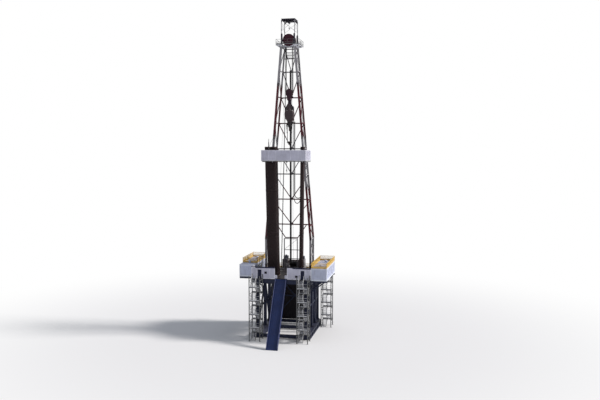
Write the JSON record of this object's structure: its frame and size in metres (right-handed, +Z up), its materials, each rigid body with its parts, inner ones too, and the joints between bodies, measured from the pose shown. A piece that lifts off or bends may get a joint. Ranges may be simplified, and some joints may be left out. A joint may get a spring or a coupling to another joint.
{
  "type": "half-size model of an oil drilling rig",
  "caption": "Tall open mast on a high braced substructure, with a hoisted block and top drive, racking board with standing pipe, walled floor, side houses, stair towers and a ramp.",
  "frame": {"origin": "ground level at the middle of the whole outline; the well centre stands 2.625 m behind it", "axes": "+Z up along the mast, X across the rig, the ramp comes down toward -Y"},
  "size_m": [9.7, 11.75, 33.95],
  "materials": {
    "navy_steel": "semi-gloss, weathered",
    "screen": "matt dark corrugated sheet",
    "deck_steel": "worn anti-slip plate",
    "red_steel": "worn semi-gloss",
    "blue_steel": "scraped semi-gloss",
    "pale_steel": "satin",
    "grating": "galvanised",
    "pale_sheet": "satin, dusty",
    "dark_trim": "satin",
    "house_sheet": "satin, dusty",
    "yellow_steel": "semi-gloss",
    "grey_machine": "semi-gloss",
    "dark_machine": "semi-gloss, greasy",
    "white_mast": "semi-gloss, dusty",
    "red_mast": "semi-gloss, dusty",
    "crown_red": "semi-gloss",
    "sheave_iron": "greasy",
    "pipe_steel": "oxidised",
    "wire_rope": "greased strands",
    "hose_rubber": "matt",
    "block_paint": "semi-gloss, greasy",
    "top_drive_paint": "semi-gloss, greasy",
    "link_steel": "worn paint"
  },
  "bodies": {
    "rig": {"base_boxes": "navy_steel", "base_spreaders": "navy_steel", "leg_frames": "navy_steel", "rear_bracing": "navy_steel", "rear_screen": "screen", "floor_girders": "navy_steel", "rig_floor": "deck_steel", "rotary_table": "red_steel", "catwalk_ramp": "blue_steel", "stair_posts": "pale_steel", "stair_landings": "grating", "stair_stringers": "pale_steel", "stair_treads": "grating", "stair_handrails": "pale_steel", "windwalls": "pale_sheet", "windwall_caps": "dark_trim", "right_house": "house_sheet", "left_house": "house_sheet", "house_floors": "deck_steel", "house_roofs": "house_sheet", "house_supports": "navy_steel", "roof_railings": "yellow_steel", "floor_railings": "yellow_steel", "drawworks_frame": "grey_machine", "drawworks_drum": "dark_machine", "mast_feet": "navy_steel", "mast_sides_1": "white_mast", "mast_sides_2": "red_mast", "mast_sides_3": "white_mast", "mast_sides_4": "red_mast", "mast_sides_5": "white_mast", "mast_back_2": "red_mast", "mast_back_3": "white_mast", "mast_back_4": "red_mast", "mast_back_5": "white_mast", "guide_rail": "dark_machine", "standpipe": "grey_machine", "crown_platform": "grating", "crown_railing": "pale_steel", "crown_block_frame": "crown_red", "crown_sheaves": "sheave_iron", "fast_sheave_bracket": "crown_red", "fast_line_sheave": "sheave_iron", "crown_gantry": "dark_machine", "racking_board": "grating", "racking_fingers": "grating", "board_windwalls": "pale_sheet", "pipe_stands_left": "pipe_steel", "pipe_stands_right": "pipe_steel", "drilling_lines": "wire_rope", "fast_line": "wire_rope", "mud_hose": "hose_rubber"},
    "travelling_gear": {"travelling_block": "block_paint", "block_sheaves": "sheave_iron", "hook_and_bail": "block_paint", "top_drive": "top_drive_paint", "pipe_handler": "dark_machine", "elevator_links": "link_steel", "elevator": "link_steel"}
  },
  "joints": [
    {"name": "travelling_block_slide", "type": "slide", "parent": "rig", "child": "travelling_gear", "axis": [0, 0, 1], "range_m": [-13, 2.5], "deforming": ["drilling_lines", "mud_hose"]}
  ]
}
